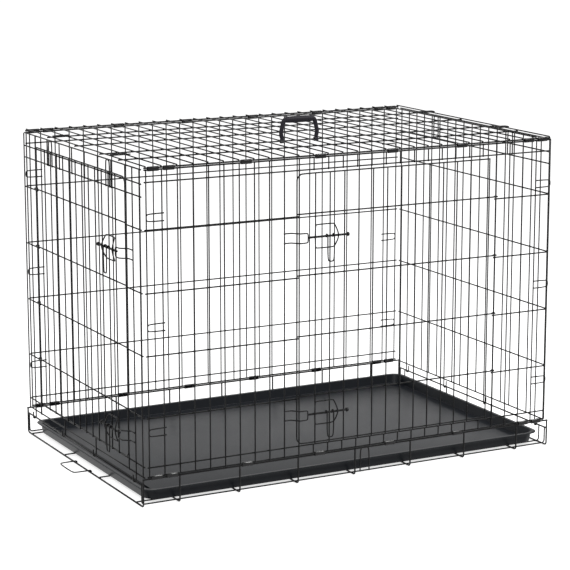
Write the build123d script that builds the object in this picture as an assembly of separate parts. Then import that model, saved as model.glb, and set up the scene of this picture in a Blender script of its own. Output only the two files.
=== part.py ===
from build123d import *
import os
from math import acos, ceil, cos, pi, radians, sin, tan

# Folding wire dog crate: welded wire panels round a plastic tray.
# X runs along the length, Y to the back, Z up, and the origin is on the floor under the middle.

# Wire sizes
rail_d = 3.8
row_d = 3.4
upright_d = 3.2
base_wire_d = 4.0
post_d = 3.8
loop_d = 3.2
bolt_d = 5.0
weld = 0.005
pin_gap = 0.1
run_gap = 0.4
bend_flat = 46.0
seam = 0.4

# Overall sizes, built round the tray
tray_length = 1056.0
tray_width = 676.0
tray_side_room = 12.0
panel_inset = 5.0
spaces = 28
rim_z = 64.0
top_rail_z = 757.0
rail_play = 0.5
end_spaces = 18
end_edge_room = 8.0
left_rail_drop = 12.0
right_rail_drop = 7.7
end_side_gap = 2.3

# Panel rows, from the rim and the top rail, then as shares of the height between sill and header
sill_rise = 26.0
end_foot_rise = 14.0
header_drop = 31.0
end_header_drop = 63.0
end_lintel_drop = 35.0
row_shares = [0.176, 0.396, 0.616, 0.836]

# Doors
door_row_lift = 6.4
door_inset = 7.0
door_lap = 8.0
door_bend = 16.0
door_post_gap = 20.0
spaces_before_door = 10
door_spaces = 14
end_margin_spaces = 2
curl_turn = 255.0

# Latches
front_latch_shares = [0.121, 0.764]
end_latch_shares = [0.094, 0.742]
bolt_travel = 20.0
guide_width = 60.0
guide_height = 54.0
guide_slant = 6.0
guide_bend = 4.0
tab_width = 17.0
tab_margin = 4.6
tab_drop = 58.0
tab_bend = 6.0
tab_eye_turn = 230.0
knob_d = 9.0
keeper_width = 22.0
keeper_reach = 12.0
keeper_bend = 3.0
keeper_ramp = 14.0

# Small fittings
corner_keeper_shares = [0.127, 0.498, 0.880]
corner_keeper_width = 17.0
corner_keeper_bend = 5.0
clip_length = 26.0
clip_wall = 1.1
spaces_to_clip = 2
spaces_to_hook = 4.5
hook_width = 21.0
hook_bend = 6.0
shoe_tip = 13.0

# Base and tray
spaces_per_cross_wire = 4
base_bend = 7.0
long_wire_count = 4
long_wire_margin = 32.0
tray_height = 25.0
tray_wall = 2.2
tray_lip = 7.0
tray_step = 5.0
tray_margin = 34.0
tray_corner = 30.0
tray_draft = 8.0
tray_gap = 0.6
stop_width = 88.0
stop_reach = 42.0
stop_bend = 8.0
stop_turn = 100.0
guide_hairpin_width = 24.0

# Handle
handle_height = 49.5
handle_knee_rise = 15.0
handle_splay = 3.5
handle_shoulder = 4.5
handle_leg_d = 10.0
handle_grip_d = 16.0
handle_grip_length = 62.0
handle_half_spaces = 1.2
handle_bend = 16.0
handle_eye_wall = 3.4
top_wire_shares = [-0.61, -0.31, 0.11, 0.59]

half_length = tray_length / 2 - panel_inset
pitch = 2 * half_length / spaces
hinge_y = tray_width / 2 + tray_side_room
rail_step = rail_d + rail_play
sill_z = rim_z + sill_rise
header_z = top_rail_z - header_drop
end_header_z = top_rail_z - end_header_drop
end_lintel_z = top_rail_z - end_lintel_drop
clear_height = header_z - sill_z
row_heights = [sill_z + clear_height * share for share in row_shares]
left_rail_z = rim_z - left_rail_drop
right_rail_z = left_rail_z - right_rail_drop
panel_reach = half_length + upright_d
panel_top_z = top_rail_z - rail_step
panel_bottom_z = rim_z + rail_step
upright_y = hinge_y + (rail_d + upright_d) / 2 - weld
row_y = upright_y - (row_d + upright_d) / 2 + weld
front_post_y = hinge_y + (rail_d + post_d) / 2 - weld
end_row_x = panel_reach + end_side_gap + row_d / 2
end_upright_x = end_row_x + (row_d + upright_d) / 2 - weld
end_post_x = end_row_x + (row_d + post_d) / 2 - weld
end_rail_x = end_upright_x + (upright_d + rail_d) / 2 + pin_gap
end_half = hinge_y - end_edge_room
end_pitch = 2 * end_half / end_spaces
cross_top_z = top_rail_z + (rail_d + upright_d) / 2 - weld
long_top_z = cross_top_z - (row_d + upright_d) / 2 + weld
end_top_z = long_top_z - row_d - run_gap
X_AXIS = (1, 0, 0)
Y_AXIS = (0, 1, 0)
Z_AXIS = (0, 0, 1)
parts = {}


def section(diameter, sides):
    """A wire's section: a few flats that are tangent to its round, two of them across local X."""
    return RegularPolygon(diameter / 2, sides, major_radius=False, rotation=180 / sides)


def wire(start, end, diameter, sides, facing):
    """A straight wire with a flat that faces the wires it is welded to."""
    start = Vector(*start)
    run = Vector(*end) - start
    plane = Plane(start, x_dir=facing, z_dir=run.normalized())
    return extrude(plane * section(diameter, sides), amount=run.length)


def rod(start, end, diameter):
    """A straight round wire, where another piece turns on it."""
    start = Vector(*start)
    run = Vector(*end) - start
    plane = Plane(start, z_dir=run.normalized())
    return extrude(plane * Circle(diameter / 2), amount=run.length)


def arc_corners(centre, start, tangent, turn):
    """Corners of a run of short flats that stay outside an arc and touch it."""
    out = start - centre
    reach = tangent.normalized() * out.length
    count = ceil(turn / bend_flat)
    half = radians(turn / count / 2)
    angles = [half * (2 * k + 1) for k in range(count)]
    return [centre + (out * cos(a) + reach * sin(a)) / cos(half) for a in angles]


def bend_corners(before, corner, after, radius):
    """Corners of the flats that stand for one round bend."""
    back = (before - corner).normalized()
    ahead = (after - corner).normalized()
    opening = acos(back.dot(ahead))
    centre = corner + (back + ahead).normalized() * (radius / sin(opening / 2))
    start = corner + back * (radius / tan(opening / 2))
    return arc_corners(centre, start, back * -1, 180 - opening * 180 / pi)


def bent_path(points, radius):
    """A line along straight runs with equal bends between them."""
    corners = [Vector(*point) for point in points]
    path = [corners[0]]
    for before, corner, after in zip(corners, corners[1:], corners[2:]):
        path += bend_corners(before, corner, after, radius)
    return Polyline(*path, corners[-1])


def along(path, diameter, facing, sides=6):
    """A wire along a line, with a flat that faces the wires it is welded to."""
    plane = Plane(path @ 0, x_dir=facing, z_dir=path % 0)
    return sweep(plane * section(diameter, sides), path=path, transition=Transition.RIGHT)


def bent(points, radius, diameter, facing):
    """A wire bent along straight runs with equal bends."""
    return along(bent_path(points, radius), diameter, facing)


def curl(start, axis_point, tangent, diameter, turn, sides=6):
    """A wire end rolled round an axis, from the face where its straight run ends."""
    centre = Vector(*axis_point)
    first = Vector(*start)
    out = first - centre
    reach = Vector(*tangent) * out.length
    last = centre + out * cos(radians(turn)) + reach * sin(radians(turn))
    path = Polyline(first, *arc_corners(centre, first, Vector(*tangent), turn), last)
    return along(path, diameter, out, sides)


def eight_sided_slot(width, length):
    """An upright slot outline with flat-sided ends."""
    tip = width / 2 / cos(pi / 8)
    side = width / 2
    short = tip * cos(3 * pi / 8)
    straight = (length - width) / 2
    right = [(side, -straight - short), (side, straight + short), (short, straight + side)]
    left = [(-short, straight + side), (-side, straight + short), (-side, -straight - short)]
    return Polygon(*right, *left, (-short, -straight - side), (short, -straight - side), align=None)


def keep(name, shapes):
    """Collect the separate solids of one piece."""
    solids = [solid for shape in shapes for solid in shape.solids()]
    parts[name] = Compound(children=solids)


def to_left_end(shape):
    """Take a piece laid out as on the front and set it on the left end, handed the other way."""
    return Rot(0, 0, -90) * mirror(shape, about=Plane.YZ)


def bar_x(x0, x1, y, z, diameter, sides=8):
    """A wire along X."""
    return wire((x0, y, z), (x1, y, z), diameter, sides, Z_AXIS)


def bar_y(x, y0, y1, z, diameter, sides=8):
    """A wire along Y."""
    return wire((x, y0, z), (x, y1, z), diameter, sides, Z_AXIS)


def bar_z(x, y, z0, z1, diameter, facing, sides=6):
    """An upright wire."""
    return wire((x, y, z0), (x, y, z1), diameter, sides, facing)


# Base: U wires under the tray, long wires on them, hinge rims along the sides and rails at the ends
cross_z = base_wire_d / 2
long_z = cross_z + (base_wire_d + row_d) / 2 - weld
base_step = spaces_per_cross_wire * pitch
cross_count = int((half_length - base_wire_d) // base_step)
cross_xs = [base_step * k for k in range(-cross_count, cross_count + 1)]
cross_xs = [-end_rail_x] + cross_xs + [end_rail_x]
flat_half = hinge_y - base_bend
rise_z = cross_z + base_bend
rise_top = rim_z - rail_d / 2 + weld
cross_bars = []
rises = []
bends = []
for x in cross_xs:
    if x == cross_xs[0]:
        cross_bars.append(rod((x, -flat_half, cross_z), (x, flat_half, cross_z), base_wire_d))
    else:
        cross_bars.append(bar_y(x, -flat_half, flat_half, cross_z, base_wire_d))
    for side in (-1, 1):
        rises.append(bar_z(x, side * hinge_y, rise_z, rise_top, base_wire_d, Y_AXIS, 8))
        centre = (x, side * flat_half, rise_z)
        bends.append(curl((x, side * flat_half, cross_z), centre, (0, side, 0), base_wire_d, 90, 8))
keep("base_cross_wires", cross_bars)
long_reach = end_rail_x + base_wire_d / 2
long_half = hinge_y - long_wire_margin
long_step = 2 * long_half / (long_wire_count - 1)
long_ys = [long_step * k - long_half for k in range(long_wire_count)]
skirt_y = flat_half - row_d / 2
turn_x = end_rail_x - base_bend
long_bars = [bar_x(-long_reach, turn_x, y, long_z, row_d) for y in long_ys]
long_bars += [bar_x(-turn_x, turn_x, y, long_z, row_d) for y in (-skirt_y, skirt_y)]
turned_up = [(1, y, right_rail_z) for y in long_ys + [-skirt_y, skirt_y]]
turned_up += [(-1, y, left_rail_z) for y in (-skirt_y, skirt_y)]
for end, y, rail_z in turned_up:
    start = (end * turn_x, y, long_z)
    bends.append(curl(start, (end * turn_x, y, long_z + base_bend), (end, 0, 0), row_d, 90, 8))
    rise_end = rail_z - rail_d / 2 + weld
    rises.append(bar_z(end * end_rail_x, y, long_z + base_bend, rise_end, row_d, X_AXIS, 8))
keep("base_long_wires", long_bars)
keep("base_rises", rises)
keep("base_bends", bends)
rims = [rod((-long_reach, y, rim_z), (long_reach, y, rim_z), rail_d) for y in (-hinge_y, hinge_y)]
keep("base_rims", rims)
rail_half = hinge_y - base_wire_d / 2 + weld
rails = []
for x, z in ((-end_rail_x, left_rail_z), (end_rail_x, right_rail_z)):
    rails.append(rod((x, -rail_half, z), (x, rail_half, z), rail_d))
keep("base_end_rails", rails)


def clip_xs():
    """Where the hinge clips sit along a long edge, between the uprights."""
    last = spaces // 2 - 1
    half = [pitch * (k + 0.5) for k in (spaces_to_clip, spaces // 4, last - 1, last)]
    return half + [-x for x in half]


def hinge_clips(y):
    """Crimped bands that tie a panel's rails to the rim below and the top's rail above."""
    clips = []
    inner = eight_sided_slot(rail_d + 2 * pin_gap, rail_d + 2 * pin_gap + rail_step)
    outer = eight_sided_slot(rail_d + 2 * (pin_gap + clip_wall), rail_d + 2 * (pin_gap + clip_wall) + rail_step)
    for low_z in (rim_z, panel_top_z):
        for x in clip_xs():
            plane = Plane((x - clip_length / 2, y, low_z + rail_step / 2), x_dir=(0, 1, 0), z_dir=(1, 0, 0))
            clips.append(extrude(plane * (outer - inner), amount=clip_length))
    return clips


def corner_keepers(side):
    """Hairpins over the last two uprights that guide the edge of an end panel."""
    keepers = []
    y = side * (upright_y + (upright_d + loop_d) / 2 - weld)
    half = corner_keeper_width / 2
    for end in (-1, 1):
        tip = end * (half_length + upright_d / 2)
        tail = end * (half_length - pitch - upright_d)
        for share in corner_keeper_shares:
            high = sill_z + clear_height * share + half
            low = high - corner_keeper_width
            points = [(tail, y, high), (tip, y, high), (tip, y, low), (tail, y, low)]
            keepers.append(bent(points, corner_keeper_bend, loop_d, Y_AXIS))
    return keepers


# Back panel: full uprights outside full rows
upright_xs = [-half_length + pitch * k for k in range(spaces + 1)]
all_rows = [sill_z] + row_heights + [header_z]
keep("back_uprights", [bar_z(x, upright_y, panel_bottom_z, panel_top_z, upright_d, Y_AXIS) for x in upright_xs])
keep("back_rows", [bar_x(-panel_reach, panel_reach, row_y, z, row_d) for z in all_rows])
back_rail_zs = (panel_bottom_z, panel_top_z)
keep("back_rails", [bar_x(-panel_reach, panel_reach, hinge_y, z, rail_d) for z in back_rail_zs])
keep("back_corner_keepers", corner_keepers(1))
keep("back_clips", hinge_clips(hinge_y))

# Front panel: the same grid with a doorway cut through it
door_first = spaces_before_door
door_last = spaces_before_door + door_spaces
door_x0 = upright_xs[door_first]
door_x1 = upright_xs[door_last]
front_uprights = []
front_rows = []
for k, x in enumerate(upright_xs):
    if door_first < k < door_last:
        front_uprights.append(bar_z(x, -upright_y, panel_bottom_z, sill_z + row_d / 2, upright_d, Y_AXIS))
        front_uprights.append(bar_z(x, -upright_y, header_z - row_d / 2, panel_top_z, upright_d, Y_AXIS))
    elif k != door_last:
        front_uprights.append(bar_z(x, -upright_y, panel_bottom_z, panel_top_z, upright_d, Y_AXIS))
for z in (sill_z, header_z):
    front_rows.append(bar_x(-panel_reach, panel_reach, -row_y, z, row_d))
for z in row_heights:
    front_rows.append(bar_x(-panel_reach, door_x0 + upright_d / 2, -row_y, z, row_d))
    front_rows.append(bar_x(door_x1 - post_d / 2, panel_reach, -row_y, z, row_d))
keep("front_uprights", front_uprights)
keep("front_rows", front_rows)
keep("front_hinge_post", [rod((door_x1, -front_post_y, panel_bottom_z), (door_x1, -front_post_y, panel_top_z), post_d)])
keep("front_rails", [bar_x(-panel_reach, panel_reach, -hinge_y, z, rail_d) for z in back_rail_zs])
keep("front_corner_keepers", corner_keepers(-1))
keep("front_clips", hinge_clips(-hinge_y))

# Top: cross wires over two hinge rails and four long wires
long_top_ys = [hinge_y * share for share in top_wire_shares]
handle_wire_y = long_top_ys[1]
cross_reach = hinge_y + rail_d / 2
keep("top_cross_wires", [bar_y(x, -cross_reach, cross_reach, cross_top_z, upright_d, 6) for x in upright_xs])
long_top_wires = []
for y in long_top_ys:
    if y == handle_wire_y:
        long_top_wires.append(rod((-panel_reach, y, long_top_z), (panel_reach, y, long_top_z), row_d))
    else:
        long_top_wires.append(bar_x(-panel_reach, panel_reach, y, long_top_z, row_d))
keep("top_long_wires", long_top_wires)
top_rail_ends = [[(x, y, top_rail_z) for x in (-panel_reach, panel_reach)] for y in (-hinge_y, hinge_y)]
keep("top_rails", [rod(start, end, rail_d) for start, end in top_rail_ends])
hook_ys = [-end_half + end_pitch * k for k in (spaces_to_hook, end_spaces - spaces_to_hook)]
loop_z = cross_top_z + (upright_d + loop_d) / 2 - weld
half_hook = hook_width / 2
loops = []
for end in (-1, 1):
    tip = end * (half_length + upright_d / 2)
    tail = end * (half_length - pitch - upright_d)
    for y in hook_ys:
        points = [(tail, y - half_hook, loop_z), (tip, y - half_hook, loop_z)]
        points += [(tip, y + half_hook, loop_z), (tail, y + half_hook, loop_z)]
        loops.append(bent(points, hook_bend, loop_d, Z_AXIS))
keep("top_end_loops", loops)


def end_hairpins(x):
    """Hairpin stiffeners over the header, below the loops of the top."""
    pins = []
    crown = end_top_z
    foot = end_header_z - row_d / 2
    for y in hook_ys:
        points = [(x, y - half_hook, foot), (x, y - half_hook, crown)]
        points += [(x, y + half_hook, crown), (x, y + half_hook, foot)]
        pins.append(bent(points, hook_bend, loop_d, X_AXIS))
    return pins


shoe_uprights = [1, end_spaces // 3 + 1, 2 * end_spaces // 3, end_spaces - 1]


def shoes(end, rail_z, tops):
    """Upright ends hooked under the end rail, which they turn on, with their tips up outside it."""
    found = []
    inner_x = end * end_upright_x
    outer_x = end * (2 * end_rail_x - end_upright_x)
    for upright, top in zip(shoe_uprights, tops):
        y = end_ys[upright]
        found.append(bar_z(inner_x, y, rail_z, top, upright_d, X_AXIS))
        found.append(curl((inner_x, y, rail_z), (end * end_rail_x, y, rail_z), (0, 0, -1), upright_d, 180))
        found.append(bar_z(outer_x, y, rail_z, rail_z + shoe_tip, upright_d, X_AXIS))
    return found


# Right end panel: a plain grid that turns on its rail
end_ys = [-end_half + end_pitch * k for k in range(end_spaces + 1)]
end_foot_z = left_rail_z + end_foot_rise
end_edge = end_half + upright_d / 2
high_rows = [end_header_z, end_lintel_z, end_top_z]
keep("right_uprights", [bar_z(end_upright_x, y, end_foot_z, end_top_z, upright_d, X_AXIS) for y in end_ys])
right_rows = [end_foot_z] + row_heights + high_rows
keep("right_rows", [bar_y(end_row_x, -end_edge, end_edge, z, row_d) for z in right_rows])
keep("right_hairpins", end_hairpins(end_row_x + (row_d + loop_d) / 2 - weld))
keep("right_shoes", shoes(1, right_rail_z, [end_foot_z] * len(shoe_uprights)))

# Left end panel: the same grid with its own doorway
end_door_first = end_margin_spaces
end_door_last = end_spaces - end_margin_spaces
end_door_y0 = end_ys[end_door_first]
end_door_y1 = end_ys[end_door_last]
left_uprights = []
for k, y in enumerate(end_ys):
    if end_door_first < k < end_door_last:
        if k % 2 == 0:
            left_uprights.append(bar_z(-end_upright_x, y, end_header_z - row_d / 2, end_top_z, upright_d, X_AXIS))
    elif k != end_door_last:
        left_uprights.append(bar_z(-end_upright_x, y, end_foot_z, end_top_z, upright_d, X_AXIS))
keep("left_uprights", left_uprights)
left_rows = [bar_y(-end_row_x, -end_edge, end_edge, z, row_d) for z in [end_foot_z, sill_z] + high_rows]
for z in row_heights:
    left_rows.append(bar_y(-end_row_x, -end_edge, end_door_y0 + upright_d / 2, z, row_d))
    left_rows.append(bar_y(-end_row_x, end_door_y1 - post_d / 2, end_edge, z, row_d))
keep("left_rows", left_rows)
keep("left_hinge_post", [rod((-end_post_x, end_door_y1, end_foot_z), (-end_post_x, end_door_y1, end_top_z), post_d)])
keep("left_hairpins", end_hairpins(-end_row_x - (row_d + loop_d) / 2 + weld))
door_shoe_top = sill_z + row_d / 2
left_tops = [door_shoe_top if end_door_first < k < end_door_last else end_foot_z for k in shoe_uprights]
keep("left_shoes", shoes(-1, left_rail_z, left_tops))


class Doorway:
    """One doorway seen from outside, with its hinge post at the right and its latch at the left."""

    def __init__(self, post_x, edge_x, post_y, bottom, top, step, latch_shares):
        self.post_x = post_x
        self.edge_x = edge_x
        self.post_y = post_y
        self.bottom = bottom
        self.top = top
        self.step = step
        self.latch_heights = [sill_z + clear_height * share for share in latch_shares]
        self.row_y = post_y - post_d / 2 - pin_gap - row_d / 2
        self.upright_y = self.row_y - (row_d + upright_d) / 2 + weld
        self.eye_r = bolt_d / 2 + pin_gap + loop_d / 2
        eye_reach = (self.eye_r + loop_d / 2) / cos(radians(bend_flat / 2))
        self.bolt_y = self.upright_y - upright_d / 2 - run_gap - eye_reach
        self.loop_y = self.bolt_y - bolt_d / 2 - run_gap - loop_d / 2
        self.rows = [z + door_row_lift for z in row_heights]
        self.guide_left = edge_x + 0.8 * step
        self.guide_right = self.guide_left + guide_width

    def frame(self):
        """The bent wire round three sides of the door."""
        left = self.edge_x - door_lap
        right = self.post_x - door_post_gap
        y = self.row_y
        low = self.bottom
        high = self.top
        corner = left + door_bend
        return [
            bar_x(corner, right, y, low, row_d),
            bar_x(corner, right, y, high, row_d),
            bar_z(left, y, low + door_bend, high - door_bend, row_d, X_AXIS),
            curl((corner, y, low), (corner, y, low + door_bend), (-1, 0, 0), row_d, 90, 8),
            curl((corner, y, high), (corner, y, high - door_bend), (-1, 0, 0), row_d, 90, 8),
        ]

    def bars(self):
        """Rows from the latch side to the hinge post."""
        left = self.edge_x - door_lap + row_d / 2 - weld
        return [bar_x(left, self.post_x, self.row_y, z, row_d) for z in self.rows]

    def curls(self):
        """Row ends rolled round the hinge post."""
        found = []
        for z in self.rows:
            start = (self.post_x, self.row_y, z)
            found.append(curl(start, (self.post_x, self.post_y, z), X_AXIS, row_d, curl_turn, 8))
        return found

    def uprights(self):
        """Uprights across the rows, with the last one close to the hinge."""
        count = round((self.post_x - self.edge_x) / self.step)
        xs = [self.edge_x + self.step * k for k in range(1, count)]
        xs[-1] = self.post_x - door_post_gap - upright_d
        low = self.bottom - row_d / 2
        high = self.top + row_d / 2
        return [bar_z(x, self.upright_y, low, high, upright_d, Y_AXIS) for x in xs]

    def guides(self):
        """Wire cages on the door that the bolts slide in."""
        found = []
        flat_y = self.upright_y - (upright_d + loop_d) / 2 + weld
        left = self.guide_left
        right = self.guide_right
        slant = guide_slant
        for z in self.latch_heights:
            high = z + guide_height / 2
            low = z - guide_height / 2
            middle = (left + right) / 2
            points = [(middle, flat_y, high), (right - slant, flat_y, high)]
            points += [(right, self.loop_y, z + slant), (right, self.loop_y, z - slant)]
            points += [(right - slant, flat_y, low), (left + slant, flat_y, low)]
            points += [(left, self.loop_y, z - slant), (left, self.loop_y, z + slant)]
            points += [(left + slant, flat_y, high), (middle - seam, flat_y, high)]
            found.append(bent(points, guide_bend, loop_d, Y_AXIS))
        return found

    def keepers(self, upright_plane):
        """Hairpins on the panel that hold the tips of the bolts."""
        found = []
        foot_y = upright_plane - (upright_d + loop_d) / 2 + weld
        tip = self.edge_x + keeper_reach
        half = keeper_width / 2
        for z in self.latch_heights:
            points = [(self.edge_x - self.step - upright_d, foot_y, z + half)]
            ramp_top = self.edge_x - door_lap
            points += [(ramp_top - keeper_ramp, foot_y, z + half), (ramp_top, self.loop_y, z + half)]
            points += [(tip, self.loop_y, z + half)]
            points += [(x, y, 2 * z - height) for x, y, height in reversed(points)]
            found.append(bent(points, keeper_bend, loop_d, Z_AXIS))
        return found

    def bolt(self, z):
        """A drawn-back bolt: a rod with a knob on its outer end."""
        tip = self.edge_x + keeper_reach + loop_d / 2 + run_gap
        knob_x = self.guide_right + loop_d / 2 + bolt_travel + knob_d / 2 + run_gap
        shank = rod((tip, self.bolt_y, z), (knob_x, self.bolt_y, z), bolt_d)
        knob = bar_x(knob_x - knob_d / 4, knob_x + knob_d / 4, self.bolt_y, z, knob_d)
        return [shank + knob]

    def tab(self, z):
        """A finger loop hung on the bolt by two eyes."""
        right = self.guide_right - guide_slant - tab_margin
        left = right - tab_width
        leg_y = self.bolt_y - self.eye_r
        low = z - tab_drop
        points = [(left, leg_y, z), (left, leg_y, low), (right, leg_y, low), (right, leg_y, z)]
        found = [bent(points, tab_bend, loop_d, Y_AXIS)]
        for x in (left, right):
            found.append(curl((x, leg_y, z), (x, self.bolt_y, z), Z_AXIS, loop_d, tab_eye_turn))
        return found


front_doorway = Doorway(
    door_x1, door_x0, -front_post_y, sill_z + door_inset, header_z - door_inset, pitch, front_latch_shares
)
end_doorway = Doorway(
    end_door_y1, end_door_y0, -end_post_x, sill_z + door_inset, end_lintel_z + door_inset, end_pitch, end_latch_shares
)

# Doors with their guides, bolts and finger loops, and the keepers on the panels beside them
upright_planes = {"front": -upright_y, "end": -end_upright_x}
keeper_panels = {"front": "front", "end": "left"}
for name, doorway in (("front", front_doorway), ("end", end_doorway)):
    groups = {
        f"{name}_door_frame": doorway.frame(),
        f"{name}_door_rows": doorway.bars(),
        f"{name}_door_uprights": doorway.uprights(),
        f"{name}_door_curls": doorway.curls(),
        f"{name}_door_guides": doorway.guides(),
        f"{keeper_panels[name]}_latch_keepers": doorway.keepers(upright_planes[name]),
    }
    for level, z in zip(("lower", "upper"), doorway.latch_heights):
        groups[f"{name}_{level}_bolt"] = doorway.bolt(z)
        groups[f"{name}_{level}_tab"] = doorway.tab(z)
    for node, shapes in groups.items():
        if name == "end":
            shapes = [to_left_end(shape) for shape in shapes]
        keep(node, shapes)

# Tray: a drafted pan with a rolled lip and a raised floor inside a shallow channel
tray_z = long_z + row_d / 2 + tray_gap


def pan(length, width, low, high, draft, corner):
    """A drafted block with round corners."""
    bottom = Plane.XY.offset(low) * RectangleRounded(length - draft, width - draft, corner)
    top = Plane.XY.offset(high) * RectangleRounded(length, width, corner)
    return loft([bottom, top])


body_length = tray_length - 2 * tray_lip
body_width = tray_width - 2 * tray_lip
rim_top = tray_z + tray_height
shell = pan(body_length, body_width, tray_z, rim_top, tray_draft, tray_corner)
hollow = pan(
    body_length - 2 * tray_wall, body_width - 2 * tray_wall, tray_z + tray_wall, rim_top, tray_draft, tray_corner
)
lip = extrude(Plane.XY.offset(rim_top) * RectangleRounded(tray_length, tray_width, tray_corner), amount=-tray_wall)
panel_length = body_length - tray_draft - 2 * tray_margin
panel_width = body_width - tray_draft - 2 * tray_margin
floor_step = extrude(
    Plane.XY.offset(tray_z + tray_wall) * RectangleRounded(panel_length, panel_width, tray_corner), amount=tray_step
)
under_step = extrude(
    Plane.XY.offset(tray_z) * RectangleRounded(panel_length - 2 * tray_wall, panel_width - 2 * tray_wall, tray_corner),
    amount=tray_step,
)
keep("tray", [shell + lip - hollow + floor_step - under_step])

# Tray stop: a wire loop on the left bottom wire, shown let down on the floor
stop_x = -end_rail_x
eye_r = base_wire_d / 2 + pin_gap + loop_d / 2
stop_z = cross_z + eye_r
far_x = stop_x - stop_reach
half_stop = stop_width / 2
stop_points = [(stop_x, -half_stop, stop_z), (far_x, -half_stop, stop_z)]
stop_points += [(far_x, half_stop, stop_z), (stop_x, half_stop, stop_z)]
stop = [bent(stop_points, stop_bend, loop_d, Z_AXIS)]
for y in (-half_stop, half_stop):
    stop.append(curl((stop_x, y, stop_z), (stop_x, y, cross_z), X_AXIS, loop_d, stop_turn))
keep("tray_stop", stop)

# Tray guide: a hairpin inside the front rim that keeps the tray from riding up
half_pin = guide_hairpin_width / 2
pin_y = -hinge_y + (rail_d + loop_d) / 2 - weld
pin_x = cross_xs[len(cross_xs) // 2] + base_wire_d + guide_hairpin_width
pin_top = rim_z
pin_foot = long_z
pin_points = [(pin_x - half_pin, pin_y, pin_foot), (pin_x - half_pin, pin_y, pin_top)]
pin_points += [(pin_x + half_pin, pin_y, pin_top), (pin_x + half_pin, pin_y, pin_foot)]
keep("tray_guide", [bent(pin_points, stop_bend, loop_d, Y_AXIS)])

# Handle: a moulded grip on two eyes that turn on a long wire of the top
handle_x = -pitch / 2
half_handle = pitch * handle_half_spaces
leg_xs = [handle_x - half_handle, handle_x + half_handle]
eye_d = row_d + 2 * pin_gap + 2 * handle_eye_wall
grip_z = long_top_z + handle_height
leg_foot = long_top_z + eye_d / 2 - handle_eye_wall / 2
knee_z = leg_foot + handle_knee_rise
half_knee = half_handle + handle_splay
half_shoulder = half_handle - handle_shoulder
left_leg = [(-half_handle, leg_foot), (-half_knee, knee_z), (-half_shoulder, grip_z)]
right_leg = [(-x, z) for x, z in reversed(left_leg)]
leg_points = [(handle_x + x, handle_wire_y, z) for x, z in left_leg + right_leg]
legs = along(bent_path(leg_points, handle_bend), handle_leg_d, Y_AXIS, 12)
half_grip = handle_grip_length / 2
grip = bar_x(handle_x - half_grip, handle_x + half_grip, handle_wire_y, grip_z, handle_grip_d, 12)
grip_ends = grip.faces().filter_by(Axis.X)
grip = chamfer(grip_ends.edges(), handle_grip_d / 8)
eyes = []
for x in leg_xs:
    half_eye = handle_leg_d / 2
    eyes.append(bar_x(x - half_eye, x + half_eye, handle_wire_y, long_top_z, eye_d, 12))
bore_x0 = leg_xs[0] - handle_leg_d
bore_x1 = leg_xs[1] + handle_leg_d
bore_d = row_d + 2 * pin_gap
bore = rod((bore_x0, handle_wire_y, long_top_z), (bore_x1, handle_wire_y, long_top_z), bore_d)
keep("handle", [legs + grip + eyes - bore])

os.makedirs("parts", exist_ok=True)
for node, shape in parts.items():
    export_step(shape, f"parts/{node}.step")
    print(node, len(shape.solids()))
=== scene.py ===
import math
import bpy
from mathutils import Matrix


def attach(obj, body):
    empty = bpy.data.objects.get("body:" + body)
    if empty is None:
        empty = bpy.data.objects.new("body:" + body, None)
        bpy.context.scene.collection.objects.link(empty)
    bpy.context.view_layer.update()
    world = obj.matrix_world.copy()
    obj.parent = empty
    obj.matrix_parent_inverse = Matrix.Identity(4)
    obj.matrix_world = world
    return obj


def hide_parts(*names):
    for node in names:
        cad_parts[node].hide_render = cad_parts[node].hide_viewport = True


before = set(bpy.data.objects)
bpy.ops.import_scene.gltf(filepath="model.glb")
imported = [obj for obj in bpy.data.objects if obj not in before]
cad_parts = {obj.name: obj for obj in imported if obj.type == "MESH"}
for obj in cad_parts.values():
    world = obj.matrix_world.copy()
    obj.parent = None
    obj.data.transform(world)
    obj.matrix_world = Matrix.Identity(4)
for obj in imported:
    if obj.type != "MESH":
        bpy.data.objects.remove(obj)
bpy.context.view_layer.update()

# Base frame: steel wires bent to a U lie on the floor and turn up at both sides, with long wires across them.
# The panels hinge on its round rims and end rails, and a hairpin inside the front rim keeps the tray down.
# It is spot welded, and then dipped in black electro-coat as one piece.
UPRIGHT_COUNT = 29
FIRST_UPRIGHT_X = -0.523
UPRIGHT_SPACE = -2 * FIRST_UPRIGHT_X / (UPRIGHT_COUNT - 1)
U_WIRE_XS = [UPRIGHT_SPACE * k for k in range(-12, 13, 4)]
END_RAIL_XS = [-0.5371, 0.5371]
LONG_WIRE_YS = [-0.318, -0.106, 0.106, 0.318]
SIDE_WIRE_YS = [-0.3413, 0.3413]
BASE_WELD_Z = 0.004
MERGE_GAP = 0.00001
FLAT_ANGLE = math.radians(1)
CORNER_ANGLE = math.radians(50)
END_ANGLE = math.radians(75)
ROUND_LEVELS = 2
NUGGET_RADIUS = 0.0016
NUGGET_FLATNESS = 0.6


def alone(piece):
    """Make one object the only thing selected."""
    bpy.ops.object.select_all(action="DESELECT")
    piece.select_set(True)
    bpy.context.view_layer.objects.active = piece


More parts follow.
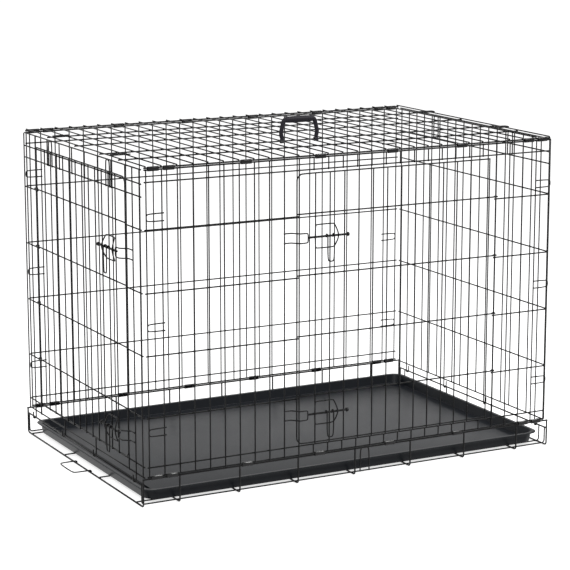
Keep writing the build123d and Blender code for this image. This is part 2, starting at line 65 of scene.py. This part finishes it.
def copy_solids(name, *nodes):
    """Copy CAD nodes into one new piece, merged, with no walls left inside a wire."""
    copies = []
    for node in nodes:
        piece = bpy.data.objects.new(name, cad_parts[node].data.copy())
        bpy.context.scene.collection.objects.link(piece)
        copies.append(piece)
    alone(copies[0])
    for piece in copies:
        piece.select_set(True)
    if len(copies) > 1:
        bpy.ops.object.join()
    piece = copies[0]
    piece.data.materials.clear()
    bpy.ops.object.mode_set(mode="EDIT")
    bpy.ops.mesh.select_mode(type="FACE")
    bpy.ops.mesh.select_all(action="SELECT")
    bpy.ops.mesh.remove_doubles(threshold=MERGE_GAP)
    bpy.ops.mesh.select_all(action="DESELECT")
    bpy.ops.mesh.select_interior_faces()
    bpy.ops.mesh.delete(type="FACE")
    bpy.ops.object.mode_set(mode="OBJECT")
    return piece


def subdivide_round(piece):
    """Round a piece off by subdivision."""
    rounding = piece.modifiers.new("round", "SUBSURF")
    rounding.levels = ROUND_LEVELS
    rounding.render_levels = ROUND_LEVELS
    bpy.ops.object.modifier_apply(modifier="round")


def finish_piece(piece, body, slot, material, *nodes):
    """Give a piece its material and its body, and hide the CAD nodes it stands for."""
    piece.data.materials.append(material)
    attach(piece, body)
    if nodes:
        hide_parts(*nodes)


def round_wires(name, body, *nodes):
    """Copy flat-sided wires into one piece of round ones, with sheared ends and smooth bends."""
    piece = copy_solids(name, *nodes)
    bpy.ops.object.mode_set(mode="EDIT")
    bpy.ops.mesh.select_all(action="SELECT")
    bpy.ops.mesh.tris_convert_to_quads(face_threshold=FLAT_ANGLE, shape_threshold=math.pi)
    bpy.ops.mesh.select_all(action="DESELECT")
    bpy.ops.mesh.select_mode(type="EDGE")
    bpy.ops.mesh.edges_select_sharp(sharpness=END_ANGLE)
    bpy.ops.transform.edge_crease(value=1)
    bpy.ops.object.mode_set(mode="OBJECT")
    subdivide_round(piece)
    bpy.ops.object.shade_smooth_by_angle(angle=CORNER_ANGLE)
    finish_piece(piece, body, "wire", coated_wire, *nodes)


def smooth_rods(name, body, *nodes):
    """Keep round rods as they are, shaded smooth along their length."""
    piece = copy_solids(name, *nodes)
    bpy.ops.object.shade_smooth_by_angle(angle=CORNER_ANGLE)
    finish_piece(piece, body, "wire", coated_wire, *nodes)


def weld_nuggets(name, body, places, flat_axis):
    """Set a flattened nugget of weld metal where wires cross, and join them into one piece."""
    squash = [NUGGET_FLATNESS if axis == flat_axis else 1 for axis in "XYZ"]
    bpy.ops.object.select_all(action="DESELECT")
    bpy.ops.mesh.primitive_ico_sphere_add(subdivisions=1, radius=NUGGET_RADIUS)
    nugget = bpy.context.object
    bpy.ops.transform.resize(value=squash, center_override=(0, 0, 0))
    bpy.ops.object.transform_apply(location=True, rotation=True, scale=True)
    bpy.ops.object.shade_smooth()
    copies = []
    for place in places:
        mesh = nugget.data.copy()
        mesh.transform(Matrix.Translation(place))
        copies.append(bpy.data.objects.new(name, mesh))
        bpy.context.scene.collection.objects.link(copies[-1])
        copies[-1].select_set(True)
    bpy.data.objects.remove(nugget)
    bpy.context.view_layer.objects.active = copies[0]
    bpy.ops.object.join()
    finish_piece(copies[0], body, "wire", coated_wire)


def linear(hex_colour):
    """An sRGB hex colour as linear values."""
    values = [int(hex_colour[k:k + 2], 16) / 255 for k in (1, 3, 5)]
    bright = [v / 12.92 if v <= 0.04045 else ((v + 0.055) / 1.055) ** 2.4 for v in values]
    return (*bright, 1.0)


def add(tree, kind, *in_order, settings=None, **by_name):
    """Add one node with its settings, and link or set its inputs, in order or by name."""
    node = tree.nodes.new(kind)
    for key, value in (settings or {}).items():
        setattr(node, key, value)
    inputs = list(zip(node.inputs, in_order))
    inputs += [(node.inputs[key.replace("_", " ")], value) for key, value in by_name.items()]
    for socket, value in inputs:
        if isinstance(value, bpy.types.NodeSocket):
            tree.links.new(value, socket)
        else:
            socket.default_value = value
    return node


def new_material(name):
    """An empty material, its node tree, and the object coordinates that its patterns read."""
    material = bpy.data.materials.new(name)
    material.use_nodes = True
    tree = material.node_tree
    tree.nodes.clear()
    place = add(tree, "ShaderNodeTexCoord").outputs["Object"]
    return material, tree, place


# Black electro-coat on drawn steel wire: a thin even satin film, which looks near black with soft streaks.
# Its faint orange peel is 4 mm wide here, 250 to the metre, so that it still shows; the real one is finer.
WIRE_PEEL_PER_METRE = 250
coated_wire, tree, place = new_material("black_electrocoat_wire")
peel = add(tree, "ShaderNodeTexNoise", Vector=place, Scale=WIRE_PEEL_PER_METRE, Detail=2)
film = add(tree, "ShaderNodeValToRGB", Fac=peel.outputs["Fac"])
film.color_ramp.elements[0].color = linear("#020203")
film.color_ramp.elements[1].color = linear("#070708")
gloss = add(tree, "ShaderNodeMapRange", Value=peel.outputs["Fac"], To_Min=0.34, To_Max=0.48)
ripple = add(tree, "ShaderNodeBump", Height=peel.outputs["Fac"], Strength=0.12, Distance=0.0004)
shader = add(tree, "ShaderNodeBsdfPrincipled", Base_Color=film.outputs["Color"],
             Roughness=gloss.outputs["Result"], Normal=ripple.outputs["Normal"],
             IOR=1.5, Specular_IOR_Level=0.16)
add(tree, "ShaderNodeOutputMaterial", Surface=shader.outputs["BSDF"])

round_wires("base_u_wires", "base", "base_cross_wires", "base_bends", "base_rises")
round_wires("base_long_wires_round", "base", "base_long_wires")
base_welds = [(x, y, BASE_WELD_Z) for x in U_WIRE_XS for y in SIDE_WIRE_YS + LONG_WIRE_YS]
base_welds += [(x, y, BASE_WELD_Z) for x in END_RAIL_XS for y in LONG_WIRE_YS]
weld_nuggets("base_welds", "base", base_welds, "Z")
smooth_rods("base_rims_round", "base", "base_rims")
smooth_rods("base_rails_round", "base", "base_end_rails")
round_wires("tray_guide_pin", "base", "tray_guide")

# Back panel: thin coated uprights, welded to the outside of six rows and of a heavier rail at top and bottom.
# Its bottom rail is clipped to the base's rim, and hairpins at both sides guide the edges of the end panels.
UPRIGHT_XS = [UPRIGHT_SPACE * k + FIRST_UPRIGHT_X for k in range(UPRIGHT_COUNT)]
ROW_ZS = [0.2019, 0.3419, 0.4818, 0.6217]
EDGE_ZS = [0.0683, 0.0900, 0.7260, 0.7527]
PANEL_WELD_Y = 0.3519
round_wires("back_grid", "back_panel", "back_uprights", "back_rows", "back_rails")
round_wires("back_hairpins", "back_panel", "back_corner_keepers")
back_welds = [(x, PANEL_WELD_Y, z) for x in UPRIGHT_XS for z in ROW_ZS + EDGE_ZS]
weld_nuggets("back_welds", "back_panel", back_welds, "Y")

# Front panel: the same welded grid with a doorway, whose middle rows stop at the uprights beside it.
# A plain round post carries the door, and hairpins welded beside the doorway take the bolts.
# The uprights in the doorway are counted from the left, from the first one up to the end.
DOORWAY_FIRST = 11
DOORWAY_END = 24
round_wires("front_grid", "front_panel", "front_uprights", "front_rows", "front_rails")
smooth_rods("front_door_post", "front_panel", "front_hinge_post")
round_wires("front_hairpins", "front_panel", "front_corner_keepers")
round_wires("front_bolt_keepers", "front_panel", "front_latch_keepers")
beside_doorway_xs = UPRIGHT_XS[:DOORWAY_FIRST] + UPRIGHT_XS[DOORWAY_END:]
front_welds = [(x, -PANEL_WELD_Y, z) for x in UPRIGHT_XS for z in EDGE_ZS]
front_welds += [(x, -PANEL_WELD_Y, z) for x in beside_doorway_xs for z in ROW_ZS]
weld_nuggets("front_welds", "front_panel", front_welds, "Y")

# Top panel: coated cross wires welded over two round hinge rails and four long wires.
# The loops at both ends are where the end panels hook on.
TOP_RAIL_YS = [-0.35, 0.35]
TOP_WIRE_YS = [-0.2135, -0.1085, 0.0385, 0.2065]
TOP_WELD_Z = 0.7589
round_wires("top_grid", "top", "top_cross_wires", "top_long_wires")
smooth_rods("top_rails_round", "top", "top_rails")
round_wires("top_loops", "top", "top_end_loops")
top_welds = [(x, y, TOP_WELD_Z) for x in UPRIGHT_XS for y in TOP_RAIL_YS + TOP_WIRE_YS]
weld_nuggets("top_welds", "top", top_welds, "Z")

# End panels: welded grids of the same coated wire, which turn on the base's end rails by their rolled feet.
# The left one has the second doorway, with only every second upright going on above it.
END_COUNT = 19
FIRST_END_Y = -0.342
END_SPACE = 0.038
END_YS = [END_SPACE * k + FIRST_END_Y for k in range(END_COUNT)]
END_DOORWAY_FIRST = 3
END_DOORWAY_END = 16
END_FOOT_Z = 0.066
END_SILL_Z = 0.09
END_HIGH_ZS = [0.694, 0.722, 0.7534]
END_WELD_X = 0.5319
round_wires("left_grid", "left_end", "left_uprights", "left_rows")
smooth_rods("left_door_post", "left_end", "left_hinge_post")
round_wires("left_stiffeners", "left_end", "left_hairpins")
round_wires("left_rolled_feet", "left_end", "left_shoes")
round_wires("left_bolt_keepers", "left_end", "left_latch_keepers")
round_wires("right_grid", "right_end", "right_uprights", "right_rows")
round_wires("right_stiffeners", "right_end", "right_hairpins")
round_wires("right_rolled_feet", "right_end", "right_shoes")
beside_doorway_ys = END_YS[:END_DOORWAY_FIRST] + END_YS[END_DOORWAY_END:]
above_doorway_ys = END_YS[END_DOORWAY_FIRST + 1:END_DOORWAY_END:2]
left_zs = [END_FOOT_Z, END_SILL_Z] + ROW_ZS + END_HIGH_ZS
right_zs = [END_FOOT_Z] + ROW_ZS + END_HIGH_ZS
left_welds = [(-END_WELD_X, y, z) for y in beside_doorway_ys for z in left_zs]
left_welds += [(-END_WELD_X, y, z) for y in above_doorway_ys for z in END_HIGH_ZS]
right_welds = [(END_WELD_X, y, z) for y in END_YS for z in right_zs]
weld_nuggets("left_welds", "left_end", left_welds, "X")
weld_nuggets("right_welds", "right_end", right_welds, "X")

# Doors: a coated wire bent round three sides, with uprights welded to rows that are rolled round the post.
# Wire cages welded to the free side guide the bolts.
DOOR_ROW_LIFT = 0.0064
DOOR_ROW_ZS = [z + DOOR_ROW_LIFT for z in ROW_ZS]
DOOR_FOOT_Z = 0.097
FRONT_DOOR_HEAD_Z = 0.719
END_DOOR_HEAD_Z = 0.729
FRONT_DOOR_LAST_X = 0.3504
END_DOOR_LAST_Y = 0.2428
FRONT_DOOR_WELD_Y = -0.3592
END_DOOR_WELD_X = -0.5392
for door in ("front", "end"):
    round_wires(f"{door}_door_surround", f"{door}_door", f"{door}_door_frame")
    round_wires(f"{door}_door_bars", f"{door}_door", f"{door}_door_rows", f"{door}_door_curls")
    round_wires(f"{door}_door_grid", f"{door}_door", f"{door}_door_uprights")
    round_wires(f"{door}_door_cages", f"{door}_door", f"{door}_door_guides")
front_door_xs = UPRIGHT_XS[DOORWAY_FIRST:DOORWAY_END - 1] + [FRONT_DOOR_LAST_X]
front_door_zs = DOOR_ROW_ZS + [DOOR_FOOT_Z, FRONT_DOOR_HEAD_Z]
front_door_welds = [(x, FRONT_DOOR_WELD_Y, z) for x in front_door_xs for z in front_door_zs]
end_door_ys = END_YS[END_DOORWAY_FIRST:END_DOORWAY_END - 1] + [END_DOOR_LAST_Y]
end_door_zs = DOOR_ROW_ZS + [DOOR_FOOT_Z, END_DOOR_HEAD_Z]
end_door_welds = [(END_DOOR_WELD_X, y, z) for y in end_door_ys for z in end_door_zs]
weld_nuggets("front_door_welds", "front_door", front_door_welds, "Y")
weld_nuggets("end_door_welds", "end_door", end_door_welds, "X")

# Slide bolts: a coated steel rod with a flat knob, which slides through a door's cage into the hairpins.
# Each has a finger loop of bent wire, hung on the rod by two eyes.
KNOB_EDGE = 0.0006
EDGE_ANGLE = math.radians(30)
EDGE_STEPS = 3


def merge_flats(piece):
    """Join the triangles of each flat face into one face."""
    alone(piece)
    bpy.ops.object.mode_set(mode="EDIT")
    bpy.ops.mesh.select_all(action="SELECT")
    bpy.ops.mesh.dissolve_limited(angle_limit=FLAT_ANGLE)
    bpy.ops.object.mode_set(mode="OBJECT")


def soften_edges(piece, width, angle):
    """Bevel the edges that are sharper than an angle."""
    soft = piece.modifiers.new("soft_edges", "BEVEL")
    soft.width = width
    soft.segments = EDGE_STEPS
    soft.limit_method = "ANGLE"
    soft.angle_limit = angle
    bpy.ops.object.modifier_apply(modifier="soft_edges")


def soft_solid(name, body, slot, material, edge, node):
    """Copy a solid that isn't round wire, with its edges softened."""
    piece = copy_solids(name, node)
    merge_flats(piece)
    soften_edges(piece, edge, EDGE_ANGLE)
    bpy.ops.object.shade_smooth_by_angle(angle=CORNER_ANGLE)
    finish_piece(piece, body, slot, material, node)


for latch in ("front_lower", "front_upper", "end_lower", "end_upper"):
    soft_solid(f"{latch}_slide_bolt", f"{latch}_bolt", "wire", coated_wire, KNOB_EDGE, f"{latch}_bolt")
    round_wires(f"{latch}_finger_loop", f"{latch}_tab", f"{latch}_tab")

# Tray stop: a loop of the same coated wire, rolled round the bottom wire at the left end.
# It stands up in front of the tray in use, and lies let down on the floor here.
round_wires("tray_stop_loop", "tray_stop", "tray_stop")

# Hinge clips: short bands of coated steel strip, crimped round a panel's rail and the rail that it hinges on.
# They let the rails turn on each other when the crate folds.
CLIP_EDGE = 0.0003

# Black coat on rolled steel strip: glossier than on wire, so that a band looks black with a bright streak.
# Its peel is 2.5 mm wide here, 400 to the metre, so that it still shows; the real one is finer.
CLIP_PEEL_PER_METRE = 400
clip_strip, tree, place = new_material("black_coated_steel_strip")
peel = add(tree, "ShaderNodeTexNoise", Vector=place, Scale=CLIP_PEEL_PER_METRE, Detail=3)
film = add(tree, "ShaderNodeValToRGB", Fac=peel.outputs["Fac"])
film.color_ramp.elements[0].color = linear("#030304")
film.color_ramp.elements[1].color = linear("#08080a")
ripple = add(tree, "ShaderNodeBump", Height=peel.outputs["Fac"], Strength=0.04, Distance=0.0003)
shader = add(tree, "ShaderNodeBsdfPrincipled", Base_Color=film.outputs["Color"],
             Normal=ripple.outputs["Normal"], Roughness=0.18, Specular_IOR_Level=0.25)
add(tree, "ShaderNodeOutputMaterial", Surface=shader.outputs["BSDF"])
for side in ("front", "back"):
    soft_solid(f"{side}_hinge_bands", f"{side}_panel", "clip", clip_strip, CLIP_EDGE, f"{side}_clips")

# Tray: one pan of black plastic, formed with a rolled lip, a channel and a raised flat floor.
# It lies loose on the base's wires, and slides out at the left end.
TRAY_EDGE = 0.0018

# Vacuum-formed polypropylene: a satin skin that mirrors the room at a low angle, so the floor looks paler.
# Its pebble grain is about 1.1 mm wide here, 900 to the metre, so that it still shows; the real one is finer.
# Its tone and sheen drift a little over about 170 mm, 6 to the metre.
TRAY_PEBBLES_PER_METRE = 900
TRAY_CLOUDS_PER_METRE = 6
tray_plastic, tree, place = new_material("satin_polypropylene")
grain = add(tree, "ShaderNodeTexVoronoi", Vector=place, Scale=TRAY_PEBBLES_PER_METRE)
cloud = add(tree, "ShaderNodeTexNoise", Vector=place, Scale=TRAY_CLOUDS_PER_METRE, Detail=4)
tone = add(tree, "ShaderNodeValToRGB", Fac=cloud.outputs["Fac"])
tone.color_ramp.elements[0].color = linear("#0a0d11")
tone.color_ramp.elements[1].color = linear("#12161c")
sheen = add(tree, "ShaderNodeMapRange", Value=cloud.outputs["Fac"], To_Min=0.27, To_Max=0.36)
pebble = add(tree, "ShaderNodeBump", Height=grain.outputs["Distance"], Strength=0.08, Distance=0.0004)
shader = add(tree, "ShaderNodeBsdfPrincipled", Base_Color=tone.outputs["Color"],
             Roughness=sheen.outputs["Result"], Normal=pebble.outputs["Normal"],
             IOR=1.49, Specular_IOR_Level=0.15)
add(tree, "ShaderNodeOutputMaterial", Surface=shader.outputs["BSDF"])
soft_solid("tray_pan", "tray", "tray_plastic", tray_plastic, TRAY_EDGE, "tray")

# Handle: a plastic grip on two bowed legs, moulded in one piece.
# The eyes at its feet are snapped round a long wire of the top, and it leans over when it is let go.

# Moulded nylon: the mould leaves a dull, even skin, so that the grip looks greyer than the wires.
# Its grain is about 0.7 mm wide here, 1500 to the metre, so that it still shows; the real one is finer.
HANDLE_GRAIN_PER_METRE = 1500
handle_plastic, tree, place = new_material("satin_moulded_nylon")
grain = add(tree, "ShaderNodeTexNoise", Vector=place, Scale=HANDLE_GRAIN_PER_METRE, Detail=3)
tone = add(tree, "ShaderNodeValToRGB", Fac=grain.outputs["Fac"])
tone.color_ramp.elements[0].color = linear("#1a191d")
tone.color_ramp.elements[1].color = linear("#28262c")
pebble = add(tree, "ShaderNodeBump", Height=grain.outputs["Fac"], Strength=0.1, Distance=0.0003)
shader = add(tree, "ShaderNodeBsdfPrincipled", Base_Color=tone.outputs["Color"],
             Normal=pebble.outputs["Normal"], Roughness=0.5, Specular_IOR_Level=0.1)
add(tree, "ShaderNodeOutputMaterial", Surface=shader.outputs["BSDF"])

# One leg and half the grip are drawn out of a round foot, ring by ring, and mirrored.
# Each ring has its x, its z, its lean in degrees, its width and its depth.
HANDLE_X = -0.018679
HANDLE_Y = -0.1085
WIRE_Z = 0.7572
FOOT_X = -0.04483
FOOT_Z = WIRE_Z + 0.0030
FOOT_WIDTH = 0.0100
LEG_SIDES = 12
LEG_RINGS = [
    (-0.0462, WIRE_Z + 0.0100, -13, 0.0106, 0.0096),
    (-0.0483, WIRE_Z + 0.0185, 0, 0.0106, 0.0100),
    (-0.0466, WIRE_Z + 0.0265, 14, 0.0104, 0.0102),
    (-0.0441, WIRE_Z + 0.0360, 15, 0.0104, 0.0104),
    (-0.0422, WIRE_Z + 0.0431, 15, 0.0108, 0.0110),
    (-0.0405, WIRE_Z + 0.0464, 40, 0.0118, 0.0124),
    (-0.0375, WIRE_Z + 0.0487, 65, 0.0134, 0.0142),
    (-0.0339, WIRE_Z + 0.0495, 90, 0.0150, 0.0154),
    (-0.0220, WIRE_Z + 0.0495, 90, 0.0164, 0.0162),
    (0.0, WIRE_Z + 0.0495, 90, 0.0166, 0.0166),
]
MIDDLE_GAP = 0.0001
bpy.ops.object.select_all(action="DESELECT")
bpy.ops.mesh.primitive_circle_add(vertices=LEG_SIDES, radius=FOOT_WIDTH / 2, fill_type="NGON",
                                  location=(HANDLE_X + FOOT_X, HANDLE_Y, FOOT_Z))
handle = bpy.context.object
handle.name = "carry_handle"
bpy.ops.object.transform_apply(location=True, rotation=True, scale=True)
bpy.ops.object.mode_set(mode="EDIT")
bpy.ops.mesh.select_all(action="SELECT")
x, z, lean, width, depth = FOOT_X, FOOT_Z, 0, FOOT_WIDTH, FOOT_WIDTH
# A ring is set level again before it is resized, and rotate turns the other way here.
for next_x, next_z, next_lean, next_width, next_depth in LEG_RINGS:
    bpy.ops.mesh.extrude_region_move(TRANSFORM_OT_translate={"value": (next_x - x, 0, next_z - z)})
    centre = (HANDLE_X + next_x, HANDLE_Y, next_z)
    bpy.ops.transform.rotate(value=math.radians(lean), orient_axis="Y", center_override=centre)
    bpy.ops.transform.resize(value=(next_width / width, next_depth / depth, 1), center_override=centre)
    bpy.ops.transform.rotate(value=-math.radians(next_lean), orient_axis="Y", center_override=centre)
    x, z, lean, width, depth = next_x, next_z, next_lean, next_width, next_depth
bpy.ops.mesh.delete(type="FACE")
bpy.ops.object.mode_set(mode="OBJECT")
middle = bpy.data.objects.new("handle_middle", None)
middle.location = (HANDLE_X, 0, 0)
bpy.context.scene.collection.objects.link(middle)
other_half = handle.modifiers.new("other_half", "MIRROR")
other_half.mirror_object = middle
other_half.merge_threshold = MIDDLE_GAP
bpy.context.view_layer.update()
bpy.ops.object.modifier_apply(modifier="other_half")
bpy.data.objects.remove(middle)
subdivide_round(handle)

# The eyes are short tubes round the wire, joined to the feet of the legs.
# A tube's two ends, the only faces with more than a side's corners, are inset and bridged for the bore.
EYE_RADIUS = 0.0052
BORE_RADIUS = 0.0018
EYE_LENGTH = 0.010
EYE_SIDES = 24
SIDE_CORNERS = 4
EYE_EDGE = 0.0007
EYE_EDGE_ANGLE = math.radians(40)
for eye_x in (HANDLE_X + FOOT_X, HANDLE_X - FOOT_X):
    bpy.ops.object.select_all(action="DESELECT")
    bpy.ops.mesh.primitive_cylinder_add(vertices=EYE_SIDES, radius=EYE_RADIUS, depth=EYE_LENGTH,
                                        location=(eye_x, HANDLE_Y, WIRE_Z), rotation=(0, math.pi / 2, 0))
    eye = bpy.context.object
    bpy.ops.object.transform_apply(location=True, rotation=True, scale=True)
    bpy.ops.object.mode_set(mode="EDIT")
    bpy.ops.mesh.select_mode(type="FACE")
    bpy.ops.mesh.select_all(action="DESELECT")
    bpy.ops.object.mode_set(mode="OBJECT")
    for face in eye.data.polygons:
        face.select = len(face.vertices) > SIDE_CORNERS
    bpy.ops.object.mode_set(mode="EDIT")
    bpy.ops.mesh.inset(thickness=EYE_RADIUS - BORE_RADIUS, depth=0)
    bpy.ops.mesh.bridge_edge_loops()
    bpy.ops.object.mode_set(mode="OBJECT")
    soften_edges(eye, EYE_EDGE, EYE_EDGE_ANGLE)
    handle.select_set(True)
    bpy.context.view_layer.objects.active = handle
    bpy.ops.object.join()
alone(handle)
bpy.ops.object.shade_smooth_by_angle(angle=CORNER_ANGLE)
finish_piece(handle, "handle", "handle_plastic", handle_plastic, "handle")

# Floor and backdrop: a matte white sweep in a white studio, which keeps the crate's shadow.
# Both are white where the camera, a mirror or glass sees them, and light the crate at a plainer level.
FLOOR_SIZE = 30
FLOOR_DROP = 0.0005
FLOOR_GLOW = 0.72
ROOM_LEVEL = 0.55
WHITE_LEVEL = 1.0


def seen_directly(tree):
    """1 for a ray that ends in the camera, straight or by a mirror or glass, and 0 for one that lights."""
    ray = add(tree, "ShaderNodeLightPath").outputs
    larger = {"operation": "MAXIMUM"}
    bare = add(tree, "ShaderNodeMath", ray["Is Camera Ray"], ray["Is Glossy Ray"], settings=larger)
    seen = add(tree, "ShaderNodeMath", bare.outputs[0], ray["Is Transmission Ray"], settings=larger)
    return seen.outputs[0]


bpy.ops.object.select_all(action="DESELECT")
bpy.ops.mesh.primitive_plane_add(size=FLOOR_SIZE, location=(0, 0, -FLOOR_DROP))
floor = bpy.context.object
floor.name = "floor"
white_floor, tree = new_material("white_floor")[:2]
matte = add(tree, "ShaderNodeBsdfDiffuse", Color=linear("#d0d0d0"))
glow = add(tree, "ShaderNodeEmission", Strength=FLOOR_GLOW)
lit = add(tree, "ShaderNodeAddShader", matte.outputs[0], glow.outputs[0])
pick = add(tree, "ShaderNodeMixShader", seen_directly(tree), matte.outputs[0], lit.outputs[0])
add(tree, "ShaderNodeOutputMaterial", Surface=pick.outputs[0])
floor.data.materials.append(white_floor)

world = bpy.data.worlds.new("white_studio")
bpy.context.scene.world = world
world.use_nodes = True
tree = world.node_tree
tree.nodes.clear()
level = add(tree, "ShaderNodeMapRange", Value=seen_directly(tree), To_Min=ROOM_LEVEL, To_Max=WHITE_LEVEL)
backdrop = add(tree, "ShaderNodeBackground", Color=linear("#ffffff"), Strength=level.outputs["Result"])
add(tree, "ShaderNodeOutputWorld", Surface=backdrop.outputs[0])


# Lamps: a large soft key lamp at the front left, and a narrow strip lamp hung over the front at the right.
# The strip lamp is where the upper edges of the clips along the front mirror it to the camera.
def add_lamp(name, place, turn, length, depth, power):
    """A soft lamp with an oblong face."""
    lamp = bpy.data.lights.new(name, "AREA")
    lamp.shape = "RECTANGLE"
    lamp.size = length
    lamp.size_y = depth
    lamp.energy = power
    holder = bpy.data.objects.new(name, lamp)
    holder.location = place
    holder.rotation_euler = [math.radians(a) for a in turn]
    bpy.context.scene.collection.objects.link(holder)


add_lamp("key_lamp", place=(-2.6, -2.4, 3.4), turn=(42, 0, -47), length=2.2, depth=2.2, power=100)
add_lamp("strip_lamp", place=(1.63, -1.28, 2.92), turn=(18, 0, 0), length=1.9, depth=0.6, power=90)

# Camera: it looks down a little on the front left corner, as the photograph does.
# Its place, turn and focal length were fitted to the corners of the crate in the photograph.
CAMERA_PLACE = (-2.356, -4.458, 1.4265)
CAMERA_AZIMUTH = 27.87
CAMERA_DROP = 11.64
FOCAL_PIXELS = 2117
FRAME_PIXELS = 570
SENSOR_WIDTH = 36
view = bpy.data.cameras.new("photo_view")
view.sensor_width = SENSOR_WIDTH
view.lens = FOCAL_PIXELS / FRAME_PIXELS * SENSOR_WIDTH
camera = bpy.data.objects.new("photo_view", view)
camera.location = CAMERA_PLACE
camera.rotation_euler = (math.radians(90 - CAMERA_DROP), 0, math.radians(-CAMERA_AZIMUTH))
bpy.context.scene.collection.objects.link(camera)
bpy.context.scene.camera = camera
bpy.context.scene.view_settings.view_transform = "Standard"
